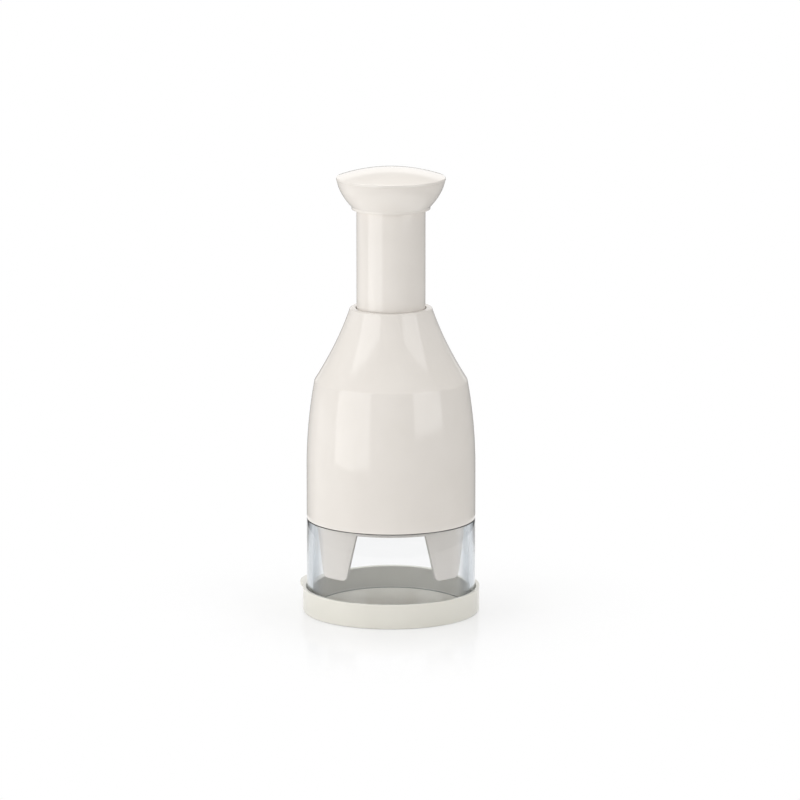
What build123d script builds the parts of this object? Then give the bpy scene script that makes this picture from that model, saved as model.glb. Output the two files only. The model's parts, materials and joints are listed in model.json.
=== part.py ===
from build123d import *
import math
import os

# Onion chopper with a plunger that is pressed at the top, a turning set of blades and a clear cup.
# Lengths are millimetres, angles degrees. The origin is the middle of the base cap's underside,
# +Z runs up the plunger's axis and -Y is the front.

# Clearances
lift_clearance = 0.3  # pieces that pull apart by hand
running_clearance = 0.06  # shaft or plunger in its bearing
turning_gap = 0.1  # flat faces that turn or slide against each other
stop_gap = 0.3  # moving piece and its end stop
fit_gap = 0.03  # pieces pushed together for good
screw_clearance = 0.25  # screw shank in the piece that it clamps
overshoot = 1.0  # how far a cut runs past the face that it opens

# Motion
stroke = 44.0
turn_per_stroke = 45.0
blade_floor_gap = 1.4  # blade edge above the cap's floor at full stroke
blade_recess = 0.3  # blade edge above the scraper's underside at rest
blade_headroom = 1.9  # above the blades, under the deck's fastenings

# Clear cup
cup_radius = 43.0
cup_wall = 3.0
spigot_length = 9.5
cup_edge_round = 0.5
rim_gap = 0.4  # hairline between the cup's shoulder and the housing's rim

# Base cap
cap_wall = 1.9
cap_floor = 2.4
cap_height = 12.6
cap_rim_round = 0.7
cap_foot_round = 0.9
tab_reach = 4.6
tab_width = 36.0
tab_thickness = 2.4
tab_angle = 152.0

# Housing
housing_wall = 1.7
barrel_straight = 26.5
barrel_crown = 4.1  # how far the barrel draws in up to its shoulder
shoulder_round = 2.0
cone_height = 37.4
cone_hollow = 1.4  # how far the cone bends in from a straight line
hollow_drop = 0.6  # the hollow's shoulder under the outer one
neck_rim = 2.8
neck_round = 0.7
neck_lip = 3.5
neck_gap = 0.5  # dark gap around the plunger
socket_wall = 1.8
rib_count = 6
rib_thickness = 1.6
boss_radius = 3.2
boss_height = 18.0
boss_web = 4.0
boss_end = 1.0  # left solid above the screw's hole

# Finger cage that grips the cup from inside
cage_wall = 1.8
cage_band = 2.3  # part of the ring that shows under the housing's rim
ledge_width = 2.3
ledge_thickness = 1.2
cage_flange_thickness = 3.5
cage_flange_margin = 0.7
finger_count = 4
finger_length = 24.0
finger_root_width = 26.4
finger_tip_width = 15.0
finger_tip_round = 3.0

# Deck that carries the mechanism
deck_thickness = 4.0
deck_fit = 0.15
deck_screw_count = 4
deck_screw_margin = 0.6  # between a screw's head and the cage's wall
deck_screw_radius = 1.4
deck_screw_length = 17.0
screw_head_radius = 2.8
screw_head_height = 1.8
screw_slot_width = 0.8
screw_slot_depth = 0.8
bumper_height = 3.7
bumper_overhang = 0.8

# Index sleeve and its pin
sleeve_wall = 2.2
sleeve_clearance = 0.5
sleeve_flange_room = 0.6
sleeve_flange_thickness = 2.5
sleeve_overrun = 5.0
pin_radius = 1.5
pin_margin = 1.0
slot_side_gap = 0.3
nut_thickness = 3.6
nut_wall = 2.0

# Return spring
wire_radius = 1.1
spring_gap = 1.3  # to the sleeve inside it
spring_room = 1.5  # to the tube around it
spring_turns = 13
arcs_per_turn = 4
end_turn_pitch = 2.8
seat_thickness = 1.0

# Plunger
tube_wall = 1.9
stop_ring_offset = 1.0
stop_ring_thickness = 3.0
stop_ring_width = 3.1
stop_groove = 0.6
bush_wall = 1.45
bush_length = 33.2
bush_flange_thickness = 1.7
head_thickness = 8.0
post_count = 3
post_margin = 1.6
post_radius = 3.2

# Knob
knob_clearance = 6.4  # left over the neck at full stroke
knob_foot_step = 2.5
knob_foot_edge = 1.3
knob_socket_depth = 4.6
knob_web = 2.5
knob_flare = 7.5
knob_bowl_height = 14.8
knob_bowl_bulge = 1.3
knob_bowl_wall = 2.0
knob_cap_overhang = 0.2
knob_cap_edge = 1.4
knob_cap_round = 0.7
knob_cap_dome = 4.8
knob_cap_spigot = 2.7
knob_cap_spigot_wall = 1.4
knob_cap_spigot_inset = 3.5
knob_screw_radius = 1.5
knob_screw_length = 12.0

# Blade set
shaft_radius = 3.0
shaft_foot = 12.0  # solid end of the carrier under the shaft
shaft_tip = 3.7  # shaft above its clip
collar_width = 2.5
collar_length = 2.9
clip_thickness = 1.0
clip_width = 2.2
clip_groove = 0.8
clip_mouth = 3.5
washer_thickness = 0.8
washer_width = 3.0
carrier_side = 12.0
carrier_corner = 1.5
carrier_rise = 0.6  # carrier's end above the blade edges
carrier_overrun = 5.0
blade_count = 4
blade_height = 10.7
blade_thickness = 0.9
blade_edge = 0.3
blade_bevel = 1.8
blade_root = 2.2  # length held in the carrier
blade_margin = 3.4  # blade tips inside the scraper's edge
blade_fold_reach = 14.0
blade_fold_angle = 45.0
blade_end_angle = 60.0
blade_fold_round = 1.6

# Scraper disc
scraper_thickness = 2.8
scraper_edge_gap = 1.0
scraper_slot_gap = 0.5
scraper_hole_gap = 0.4
retainer_thickness = 1.0
retainer_width = 2.4
retainer_bite = 0.4
retainer_opening = 10.0

# Radii, worked out from the axis to the knob and from the barrel inwards
collar_radius = shaft_radius + collar_width
clip_radius = shaft_radius + clip_width
washer_radius = shaft_radius + washer_width
carrier_reach = carrier_side / math.sqrt(2) - carrier_corner * (math.sqrt(2) - 1)
sleeve_bore = carrier_reach + sleeve_clearance
sleeve_radius = sleeve_bore + sleeve_wall
seat_bore = sleeve_radius + lift_clearance
spring_radius = sleeve_radius + spring_gap + wire_radius
tube_bore = spring_radius + wire_radius + spring_room
tube_radius = tube_bore + tube_wall
sleeve_flange_radius = tube_bore - sleeve_flange_room
post_circle = tube_bore - post_margin - post_radius
bush_bore = tube_radius + running_clearance
bush_radius = bush_bore + bush_wall
socket_bore = bush_radius + fit_gap
socket_radius = socket_bore + socket_wall
neck_radius = tube_radius + neck_gap + neck_rim
knob_foot_radius = tube_radius + knob_foot_step
knob_bowl_radius = knob_foot_radius + knob_flare
body_radius = cup_radius
cup_bore = cup_radius - cup_wall
cap_bore = cup_radius + lift_clearance
cap_radius = cap_bore + cap_wall
shoulder_radius = body_radius - barrel_crown
housing_bore = body_radius - housing_wall
spigot_radius = housing_bore - lift_clearance
cage_radius = cup_bore - lift_clearance
cage_bore = cage_radius - cage_wall
deck_screw_circle = cage_bore - deck_screw_margin - screw_head_radius
scraper_radius = cage_bore - scraper_edge_gap
blade_reach = scraper_radius - blade_margin

# Heights, stacked from the base cap to the knob
blade_low = cap_floor + blade_floor_gap + stroke
blade_top = blade_low + blade_height
scraper_low = blade_low - blade_recess
scraper_top = scraper_low + scraper_thickness
retainer_low = scraper_top + stop_gap
cage_low = scraper_low - turning_gap - ledge_thickness
rim_height = cage_low + cage_band
spigot_top = rim_height + spigot_length
deck_low = blade_top + blade_headroom + max(cage_flange_thickness, nut_thickness)
deck_top = deck_low + deck_thickness
sleeve_flange_top = deck_top + sleeve_flange_thickness
pin_height = sleeve_flange_top + pin_margin + pin_radius + stroke
sleeve_top = pin_height + sleeve_overrun
carrier_low = blade_low + carrier_rise
carrier_top = pin_height + carrier_overrun
tube_low = deck_top + bumper_height + stop_gap + stroke
stop_low = tube_low + stop_ring_offset
stop_top = stop_low + stop_ring_thickness
bush_low = stop_top + stop_gap
bush_top = bush_low + bush_length
neck_height = bush_top + neck_lip
shoulder_height = neck_height - cone_height
knob_foot_height = neck_height + stroke + knob_clearance
knob_seam_height = knob_foot_height + knob_bowl_height
web_low = knob_foot_height + knob_socket_depth
web_top = web_low + knob_web
post_height = washer_thickness + turning_gap + clip_thickness + shaft_tip + stop_gap
head_top = web_low - post_height
head_low = head_top - head_thickness
clip_low = head_top + washer_thickness + turning_gap
shaft_low = carrier_low + shaft_foot
shaft_top = clip_low + clip_thickness + shaft_tip
spring_low = sleeve_flange_top + seat_thickness
spring_top = head_low - seat_thickness


# Shapes used by several pieces

def turned(*edges):
    # Solid of revolution from a closed outline, drawn as radius and height.
    return revolve(Plane.XZ * make_face(list(edges)), Axis.Z)


def turned_polygon(*points):
    return turned(Polyline(*points, close=True))


def ring(inner, outer, low, high):
    return Pos(0, 0, low) * extrude(Circle(outer) - Circle(inner), high - low)


def rod(radius, low, high):
    return Pos(0, 0, low) * extrude(Circle(radius), high - low)


def around(count, shape, first=0.0):
    # Copies of a shape, evenly spaced around the axis.
    return [Rot(0, 0, first + 360.0 * i / count) * shape for i in range(count)]


def circles(shape, radius, height):
    # Round edges of one radius at one height.
    near = 0.01
    found = shape.edges().filter_by(GeomType.CIRCLE)
    return [e for e in found if abs(e.radius - radius) < near and abs(e.arc_center.Z - height) < near]


def screw(head_radius, shank_radius, length):
    # Slotted screw along +Z, with the underside of its head at the origin and the head below.
    head = rod(head_radius, -screw_head_height, 0)
    slot_length = 2 * (head_radius + overshoot)
    slot = Pos(0, 0, -screw_head_height) * Box(slot_length, screw_slot_width, 2 * screw_slot_depth)
    return head - slot + rod(shank_radius, 0, length)


# Base cap and cup

def make_base_cap():
    cap = rod(cap_radius, 0, cap_height)
    cap = fillet(circles(cap, cap_radius, 0), cap_foot_round)
    # The tab is a circle that passes through both ends of its width on the wall and stands out by its reach.
    half_width = tab_width / 2
    wall_sag = cap_radius - math.sqrt(cap_radius**2 - half_width**2)
    tab_sag = wall_sag + tab_reach
    tab_radius = (half_width**2 + tab_sag**2) / (2 * tab_sag)
    tab = rod(tab_radius, cap_height - tab_thickness, cap_height)
    cap += Rot(0, 0, tab_angle) * Pos(cap_radius + tab_reach - tab_radius, 0, 0) * tab
    cap -= rod(cap_bore, cap_floor, cap_height + overshoot)
    return fillet(circles(cap, cap_bore, cap_height), cap_rim_round)


def make_clear_cup():
    shoulder = rim_height - rim_gap
    cup = turned_polygon(
        (cup_bore, cap_floor),
        (cup_radius, cap_floor),
        (cup_radius, shoulder),
        (spigot_radius, shoulder),
        (spigot_radius, spigot_top),
        (cup_bore, spigot_top),
    )
    return fillet(circles(cup, cup_radius, shoulder), cup_edge_round)


# Housing

def bell(inset, drop):
    # The housing's outside, or its hollow when the outline is moved in by the wall.
    radius = body_radius - inset
    shoulder = (shoulder_radius - inset, shoulder_height - drop)
    neck = (neck_radius - inset, neck_height)
    barrel_foot = rim_height + barrel_straight
    middle = ((shoulder[0] + neck[0]) / 2 - cone_hollow, (shoulder[1] + neck[1]) / 2)
    return turned(
        Line((0, rim_height), (radius, rim_height)),
        Line((radius, rim_height), (radius, barrel_foot)),
        TangentArc((radius, barrel_foot), shoulder, tangent=(0, 1)),
        ThreePointArc(shoulder, middle, neck),
        Line(neck, (0, neck_height)),
        Line((0, neck_height), (0, rim_height)),
    )


def make_housing_shell():
    outside = bell(0, 0)
    outside = fillet(circles(outside, shoulder_radius, shoulder_height), shoulder_round)
    outside = fillet(circles(outside, neck_radius, neck_height), neck_round)
    hollow = bell(housing_wall, hollow_drop) & rod(body_radius, rim_height, bush_top)
    shell = outside - hollow
    # Inside are the socket of the guide bush with its ribs, and the bosses that the deck screws into.
    socket_low = bush_low + bush_flange_thickness
    inside = ring(socket_bore, socket_radius, socket_low, bush_top)
    rib_length = body_radius - socket_bore
    rib_height = bush_top - socket_low
    rib_middle = Pos(socket_bore + rib_length / 2, 0, socket_low + rib_height / 2)
    for rib in around(rib_count, rib_middle * Box(rib_length, rib_thickness, rib_height)):
        inside += rib
    web_length = body_radius - deck_screw_circle
    boss_middle = deck_top + boss_height / 2
    boss = Pos(deck_screw_circle, 0, 0) * rod(boss_radius, deck_top, deck_top + boss_height)
    boss += Pos(deck_screw_circle + web_length / 2, 0, boss_middle) * Box(web_length, boss_web, boss_height)
    for copy in around(deck_screw_count, boss):
        inside += copy
    shell += inside & outside
    shell -= rod(socket_bore, rim_height, bush_top)
    shell -= rod(tube_radius + neck_gap, rim_height, neck_height + overshoot)
    pilot_top = deck_top + boss_height - boss_end
    pilot = Pos(deck_screw_circle, 0, 0) * rod(deck_screw_radius + fit_gap, deck_top, pilot_top)
    for hole in around(deck_screw_count, pilot):
        shell -= hole
    return shell


def make_guide_bush():
    flange_top = bush_low + bush_flange_thickness
    flange = ring(bush_bore, socket_radius, bush_low, flange_top)
    return ring(bush_bore, bush_radius, bush_low, bush_top) + flange


# Finger cage, deck and what stands on it

def finger_windows():
    # Four tapered blocks, each as wide as a finger.
    root = finger_root_width / 2
    tip = finger_tip_width / 2
    low = cage_low - finger_length
    outline = Polyline((-root, cage_low), (root, cage_low), (tip, low), (-tip, low), close=True)
    face = make_face(outline)
    face = fillet(face.vertices().sort_by(Axis.Y)[:2], finger_tip_round)
    block = extrude(Plane.XZ * face, body_radius)
    return around(finger_count, block, 180.0 / finger_count)


def make_finger_cage():
    ledge_bore = cage_bore - ledge_width
    ledge_top = cage_low + ledge_thickness
    flange_bore = deck_screw_circle - screw_head_radius - cage_flange_margin
    flange_low = deck_low - cage_flange_thickness
    head_radius = housing_bore - deck_fit
    groove_radius = cage_bore + retainer_bite + fit_gap
    cage = turned_polygon(
        (ledge_bore, cage_low),
        (cage_radius, cage_low),
        (cage_radius, spigot_top),
        (head_radius, spigot_top),
        (head_radius, deck_low),
        (flange_bore, deck_low),
        (flange_bore, flange_low),
        (cage_bore, flange_low),
        (cage_bore, ledge_top),
        (ledge_bore, ledge_top),
    )
    groove_top = retainer_low + retainer_thickness + fit_gap
    cage -= ring(cage_bore - overshoot, groove_radius, retainer_low - fit_gap, groove_top)
    skirt = ring(cage_bore, cage_radius, cage_low - finger_length, cage_low)
    for window in finger_windows():
        cage += skirt & window
    cut_low = flange_low - overshoot
    bore = rod(deck_screw_radius + screw_clearance, cut_low, deck_low + overshoot)
    recess = rod(screw_head_radius + screw_clearance, cut_low, flange_low + screw_head_height + turning_gap)
    for hole in around(deck_screw_count, Pos(deck_screw_circle, 0, 0) * (bore + recess)):
        cage -= hole
    return cage


def make_scraper_retainer():
    outer = cage_bore + retainer_bite
    clip = ring(outer - retainer_width, outer, retainer_low, retainer_low + retainer_thickness)
    opening = 2 * outer * math.sin(math.radians(retainer_opening / 2))
    cut = Box(2 * (retainer_width + overshoot), opening, 2 * (retainer_thickness + overshoot))
    return clip - Pos(outer, 0, retainer_low) * cut


def make_mechanism_deck():
    deck = ring(sleeve_radius + fit_gap, housing_bore - deck_fit, deck_low, deck_top)
    bore = rod(deck_screw_radius + screw_clearance, deck_low - overshoot, deck_top + overshoot)
    for hole in around(deck_screw_count, Pos(deck_screw_circle, 0, 0) * bore):
        deck -= hole
    return deck


def make_deck_screws():
    seat = deck_low - cage_flange_thickness + screw_head_height + turning_gap
    one = Pos(deck_screw_circle, 0, seat) * screw(screw_head_radius, deck_screw_radius, deck_screw_length)
    return Compound(children=around(deck_screw_count, one))


def make_bumper_ring():
    bore = sleeve_flange_radius + lift_clearance
    return ring(bore, tube_radius + bumper_overhang, deck_top, deck_top + bumper_height)


def twist_per_length():
    return turn_per_stroke / stroke


def make_index_sleeve():
    low = deck_low - nut_thickness
    sleeve = ring(sleeve_bore, sleeve_radius, low, sleeve_top)
    sleeve += ring(sleeve_bore, sleeve_flange_radius, deck_top, sleeve_flange_top)
    # The two slots turn the pin as it goes down: at the pin's rest height they lie along X.
    slot_low = pin_height - stroke - pin_radius - slot_side_gap
    slot_high = sleeve_top + overshoot
    width = 2 * (pin_radius + slot_side_gap)
    section = Rectangle(2 * (sleeve_radius + overshoot), width).face()
    start_angle = (pin_height - slot_low) * twist_per_length()
    rise = slot_high - slot_low
    twisted = Solid.extrude_linear_with_rotation(section, (0, 0, 0), (0, 0, rise), -rise * twist_per_length())
    return sleeve - Pos(0, 0, slot_low) * Rot(0, 0, start_angle) * twisted


def make_sleeve_nut():
    hexagon = RegularPolygon(sleeve_radius + nut_wall, 6, major_radius=False)
    blank = extrude(hexagon - Circle(sleeve_radius + fit_gap), nut_thickness)
    return Pos(0, 0, deck_low - nut_thickness) * blank


# Return spring with its seats

def make_lower_spring_seat():
    return ring(seat_bore, sleeve_flange_radius - lift_clearance, sleeve_flange_top, spring_low)


def make_upper_spring_seat():
    return ring(seat_bore, tube_bore - lift_clearance, spring_top, head_low)


def spring_height(turns):
    # Height of the wire's centre: one close turn at each end and an even pitch between.
    start = spring_low + wire_radius
    climb = spring_top - spring_low - 2 * wire_radius - 2 * end_turn_pitch
    pitch = climb / (spring_turns - 2)
    if turns <= 1:
        return start + end_turn_pitch * turns
    if turns <= spring_turns - 1:
        return start + end_turn_pitch + pitch * (turns - 1)
    return start + end_turn_pitch + climb + end_turn_pitch * (turns - spring_turns + 1)


def spring_point(turns):
    angle = 2 * math.pi * turns
    return (spring_radius * math.cos(angle), spring_radius * math.sin(angle), spring_height(turns))


def make_return_spring():
    edges = []
    for step in range(arcs_per_turn * spring_turns):
        start, middle, end = [spring_point((step + share) / arcs_per_turn) for share in (0, 0.5, 1)]
        edges.append(ThreePointArc(start, middle, end).edge())
    path = Wire(edges)
    section = Plane(origin=path @ 0, z_dir=path % 0) * Circle(wire_radius)
    # A turn lies closest to the next one, so the least gap is found on points one turn apart.
    samples = 32
    spacings = []
    for sample in range(samples * (spring_turns - 1) + 1):
        turns = sample / samples
        spacings.append(math.dist(spring_point(turns), spring_point(turns + 1)))
    least = min(spacings) - 2 * wire_radius
    print("return_spring least gap between turns", round(least, 3))
    return sweep(section, path=path)


# Plunger

def make_plunger_tube():
    groove = ring(tube_radius - stop_groove, tube_radius + overshoot, stop_low, stop_top)
    return ring(tube_bore, tube_radius, tube_low, web_low) - groove


def make_stop_ring():
    inner = tube_radius - stop_groove
    return ring(inner, inner + stop_groove + stop_ring_width, stop_low, stop_top)


def make_plunger_head():
    head = rod(tube_bore - fit_gap, head_low, head_top)
    for post in around(post_count, Pos(post_circle, 0, 0) * rod(post_radius, head_top, web_low)):
        head += post
    head -= rod(shaft_radius + running_clearance, head_low - overshoot, head_top + overshoot)
    pilot_low = web_top - knob_screw_length - fit_gap
    pilot = Pos(post_circle, 0, 0) * rod(knob_screw_radius + fit_gap, pilot_low, web_low + overshoot)
    for hole in around(post_count, pilot):
        head -= hole
    return head


def make_knob_bowl():
    flare_low = (knob_foot_radius, knob_foot_height + knob_foot_edge)
    flare_high = (knob_bowl_radius, knob_seam_height)
    middle = ((flare_low[0] + flare_high[0]) / 2 + knob_bowl_bulge, (flare_low[1] + flare_high[1]) / 2)
    # The inside follows the outside, one wall further in, down to the web.
    inner_high = (knob_bowl_radius - knob_bowl_wall, knob_seam_height)
    share = (knob_seam_height - web_top) / (knob_seam_height - flare_low[1])
    inner_low = (inner_high[0] - share * (knob_bowl_radius - knob_foot_radius), web_top)
    inner_middle = (
        (inner_low[0] + inner_high[0]) / 2 + knob_bowl_bulge * share**2,
        (inner_low[1] + inner_high[1]) / 2,
    )
    bowl = turned(
        Line((tube_radius, knob_foot_height), (knob_foot_radius, knob_foot_height)),
        Line((knob_foot_radius, knob_foot_height), flare_low),
        ThreePointArc(flare_low, middle, flare_high),
        Line(flare_high, inner_high),
        ThreePointArc(inner_high, inner_middle, inner_low),
        Line(inner_low, (0, web_top)),
        Line((0, web_top), (0, web_low)),
        Line((0, web_low), (tube_radius, web_low)),
        Line((tube_radius, web_low), (tube_radius, knob_foot_height)),
    )
    bore = rod(knob_screw_radius + screw_clearance, web_low - overshoot, web_top + overshoot)
    for hole in around(post_count, Pos(post_circle, 0, 0) * bore):
        bowl -= hole
    return bowl


def make_knob_cap():
    radius = knob_bowl_radius + knob_cap_overhang
    edge_top = knob_seam_height + knob_cap_edge
    crown = edge_top + knob_cap_dome
    disc = turned(
        Line((0, knob_seam_height), (radius, knob_seam_height)),
        Line((radius, knob_seam_height), (radius, edge_top)),
        TangentArc((0, crown), (radius, edge_top), tangent=(1, 0)),
        Line((0, crown), (0, knob_seam_height)),
    )
    disc = fillet(circles(disc, radius, edge_top), knob_cap_round)
    spigot_outer = knob_bowl_radius - knob_cap_spigot_inset
    spigot_low = knob_seam_height - knob_cap_spigot
    return disc + ring(spigot_outer - knob_cap_spigot_wall, spigot_outer, spigot_low, knob_seam_height)


def make_knob_screws():
    one = screw(screw_head_radius, knob_screw_radius, knob_screw_length)
    turned_over = Pos(post_circle, 0, web_top) * Rot(180, 0, 0) * one
    return Compound(children=around(post_count, turned_over))


# Blade set

def make_blade_shaft():
    collar_top = head_low - turning_gap
    shaft = rod(shaft_radius, shaft_low, shaft_top)
    shaft += rod(collar_radius, collar_top - collar_length, collar_top)
    shaft -= ring(shaft_radius - clip_groove, shaft_radius + overshoot, clip_low, clip_low + clip_thickness)
    return shaft - cross_hole()


def cross_hole():
    return Pos(0, 0, pin_height) * Rot(0, 90, 0) * rod(pin_radius + fit_gap, -carrier_side, carrier_side)


def make_cam_pin():
    half_length = sleeve_radius - lift_clearance
    return Pos(0, 0, pin_height) * Rot(0, 90, 0) * rod(pin_radius, -half_length, half_length)


def make_thrust_washer():
    return ring(shaft_radius + running_clearance, washer_radius, head_top, head_top + washer_thickness)


def make_shaft_clip():
    bore = shaft_radius - clip_groove + fit_gap
    clip = ring(bore, clip_radius, clip_low, clip_low + clip_thickness)
    mouth = Box(2 * clip_radius, clip_mouth, 2 * (clip_thickness + overshoot))
    return clip - Pos(clip_radius, 0, clip_low) * mouth


def blade_path():
    # One folded strip in plan: out from the carrier, back in to the fold and out again.
    def at(reach, angle):
        return (reach * math.cos(math.radians(angle)), reach * math.sin(math.radians(angle)))

    return FilletPolyline(
        (carrier_side / 2 - blade_root, 0),
        (blade_reach, 0),
        at(blade_fold_reach, blade_fold_angle),
        at(blade_reach, blade_end_angle),
        radius=blade_fold_round,
    )


def strip(width):
    # Flat outline of the folded strip at the given width.
    return make_face(blade_path().wire().offset_2d(width / 2).edges())


def make_blade():
    body_low = blade_low + blade_bevel
    body = Pos(0, 0, body_low) * extrude(strip(blade_thickness), blade_top - body_low)
    slope = math.degrees(math.atan2((blade_thickness - blade_edge) / 2, blade_bevel))
    edge = Pos(0, 0, body_low) * extrude(strip(blade_thickness), -blade_bevel, taper=slope)
    return body + edge


def make_blade_carrier():
    square = RectangleRounded(carrier_side, carrier_side, carrier_corner)
    carrier = Pos(0, 0, carrier_low) * extrude(square, carrier_top - carrier_low)
    carrier -= rod(shaft_radius + fit_gap, shaft_low, carrier_top + overshoot)
    slit_height = blade_top - carrier_low + fit_gap
    slit = Pos(0, 0, carrier_low) * extrude(strip(blade_thickness + 2 * fit_gap), slit_height)
    for copy in around(blade_count, slit):
        carrier -= copy
    return carrier - cross_hole()


def make_scraper_disc():
    hole = carrier_side + 2 * scraper_hole_gap
    disc = Circle(scraper_radius) - RectangleRounded(hole, hole, carrier_corner)
    for slot in around(blade_count, strip(blade_thickness + 2 * scraper_slot_gap)):
        disc -= slot
    return Pos(0, 0, scraper_low) * extrude(disc, scraper_thickness)


def make_parts():
    parts = {
        "base_cap": make_base_cap(),
        "clear_cup": make_clear_cup(),
        "housing_shell": make_housing_shell(),
        "guide_bush": make_guide_bush(),
        "finger_cage": make_finger_cage(),
        "scraper_retainer": make_scraper_retainer(),
        "mechanism_deck": make_mechanism_deck(),
        "deck_screws": make_deck_screws(),
        "bumper_ring": make_bumper_ring(),
        "index_sleeve": make_index_sleeve(),
        "sleeve_nut": make_sleeve_nut(),
        "lower_spring_seat": make_lower_spring_seat(),
        "return_spring": make_return_spring(),
        "upper_spring_seat": make_upper_spring_seat(),
        "plunger_tube": make_plunger_tube(),
        "stop_ring": make_stop_ring(),
        "plunger_head": make_plunger_head(),
        "knob_bowl": make_knob_bowl(),
        "knob_cap": make_knob_cap(),
        "knob_screws": make_knob_screws(),
        "thrust_washer": make_thrust_washer(),
        "blade_shaft": make_blade_shaft(),
        "shaft_clip": make_shaft_clip(),
        "cam_pin": make_cam_pin(),
        "blade_carrier": make_blade_carrier(),
        "scraper_disc": make_scraper_disc(),
    }
    for number, blade in enumerate(around(blade_count, make_blade()), start=1):
        parts[f"blade_{number}"] = blade
    return parts


os.makedirs("parts", exist_ok=True)
for name, shape in make_parts().items():
    export_step(shape, f"parts/{name}.step")
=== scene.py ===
import bpy
import bmesh
import json
import math
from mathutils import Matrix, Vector


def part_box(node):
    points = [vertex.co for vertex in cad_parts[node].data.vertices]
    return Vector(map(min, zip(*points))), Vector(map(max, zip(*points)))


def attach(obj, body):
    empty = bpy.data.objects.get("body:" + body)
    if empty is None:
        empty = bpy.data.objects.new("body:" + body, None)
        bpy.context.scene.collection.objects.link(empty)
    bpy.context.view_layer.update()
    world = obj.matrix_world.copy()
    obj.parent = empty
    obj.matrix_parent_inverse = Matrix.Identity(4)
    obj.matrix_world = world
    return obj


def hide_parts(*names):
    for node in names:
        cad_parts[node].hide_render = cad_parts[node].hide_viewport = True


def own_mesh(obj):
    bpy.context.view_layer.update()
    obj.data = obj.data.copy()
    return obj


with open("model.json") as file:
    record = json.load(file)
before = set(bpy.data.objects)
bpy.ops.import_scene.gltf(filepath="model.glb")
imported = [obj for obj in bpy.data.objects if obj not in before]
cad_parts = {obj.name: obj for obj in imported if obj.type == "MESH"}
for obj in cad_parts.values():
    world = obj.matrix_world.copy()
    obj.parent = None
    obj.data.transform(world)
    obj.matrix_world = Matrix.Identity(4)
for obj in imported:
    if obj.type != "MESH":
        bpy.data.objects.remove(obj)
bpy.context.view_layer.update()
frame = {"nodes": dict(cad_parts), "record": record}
nodes = frame["nodes"]
mm = 0.001
print("frame loaded:", len(nodes), "nodes")


# Shapes that several pieces share

meshing = {
    "turnSteps": 240,  # columns of a turned piece
    "sharpAngle": 32,  # in degrees: steeper edges stay sharp
    "mergeDistance": 1e-6,
    "tinyEdge": 1e-7,
    "cornerShare": 0.49,  # how much of a side a corner's rounding may take
}


def extent(node):
    low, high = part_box(node)
    return {"radius": (high.y - low.y) / 2, "low": low.z, "high": high.z}


def bowed(start, end, bow, steps=20):
    # inner points of a shallow curve from start to end that stands off its chord by bow in the middle
    points = []
    for step in range(1, steps):
        t = step / steps
        swell = 4 * t * (1 - t)
        radius = start[0] + (end[0] - start[0]) * t + swell * bow[0]
        height = start[1] + (end[1] - start[1]) * t + swell * bow[1]
        points.append((radius, height))
    return points


def softOutline(corners, steps=6):
    # a third number at a corner is how far its rounding reaches along both sides
    count = len(corners)
    points = []
    for i, corner in enumerate(corners):
        here = Vector(corner[:2])
        if len(corner) < 3:
            points.append(here)
            continue
        before = Vector(corners[i - 1][:2]) - here
        after = Vector(corners[(i + 1) % count][:2]) - here
        start = here + before.normalized() * min(corner[2], before.length * meshing["cornerShare"])
        end = here + after.normalized() * min(corner[2], after.length * meshing["cornerShare"])
        for step in range(steps + 1):
            t = step / steps
            points.append(start * (1 - t) ** 2 + here * 2 * t * (1 - t) + end * t ** 2)
    return points


def meshObject(name, bm, material, sharpAngle=meshing["sharpAngle"]):
    bmesh.ops.remove_doubles(bm, verts=bm.verts, dist=meshing["mergeDistance"])
    bmesh.ops.dissolve_degenerate(bm, dist=meshing["tinyEdge"], edges=bm.edges)
    bmesh.ops.recalc_face_normals(bm, faces=bm.faces)
    mesh = bpy.data.meshes.new(name)
    bm.to_mesh(mesh)
    bm.free()
    return dressMesh(name, mesh, material, sharpAngle)


def dressMesh(name, mesh, material, sharpAngle=meshing["sharpAngle"]):
    mesh.polygons.foreach_set("use_smooth", [True] * len(mesh.polygons))
    mesh.set_sharp_from_angle(angle=math.radians(sharpAngle))
    mesh.materials.clear()
    mesh.materials.append(material)
    obj = bpy.data.objects.new(name, mesh)
    bpy.context.scene.collection.objects.link(obj)
    return obj


def lathe(name, outline, material, angles=meshing["turnSteps"], sharpAngle=meshing["sharpAngle"]):
    # outline is a closed list of (radius, height), or a function that gives one for each angle
    if isinstance(angles, int):
        angles = [2 * math.pi * i / angles for i in range(angles)]
    bm = bmesh.new()
    columns = []
    for angle in angles:
        points = outline(angle) if callable(outline) else outline
        turn = Vector((math.cos(angle), math.sin(angle)))
        columns.append([bm.verts.new((turn.x * r, turn.y * r, z)) for r, z in points])
    bm.verts.index_update()
    for column, following in zip(columns, columns[1:] + columns[:1]):
        for i in range(len(column)):
            j = (i + 1) % len(column)
            bm.faces.new((column[i], following[i], following[j], column[j]))
    return meshObject(name, bm, material, sharpAngle)


def extruded(name, corners, along, material):
    # a closed solid from one flat face
    bm = bmesh.new()
    face = bm.faces.new([bm.verts.new(corner) for corner in corners])
    grown = bmesh.ops.extrude_face_region(bm, geom=[face])["geom"]
    moved = [part for part in grown if isinstance(part, bmesh.types.BMVert)]
    bmesh.ops.translate(bm, verts=moved, vec=along)
    return meshObject(name, bm, material)


def addNode(tree, kind, settings=None, **values):
    node = tree.nodes.new(kind)
    for key, value in (settings or {}).items():
        setattr(node, key, value)
    for key, value in values.items():
        node.inputs[key].default_value = value
    return node


def combine(tree, operation, first, second):
    # each of the two is a number or another node's output
    node = addNode(tree, "ShaderNodeMath", {"operation": operation})
    for socket, value in zip(node.inputs, (first, second)):
        if isinstance(value, (int, float)):
            socket.default_value = value
        else:
            tree.links.new(value, socket)
    return node.outputs["Value"]


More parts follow.
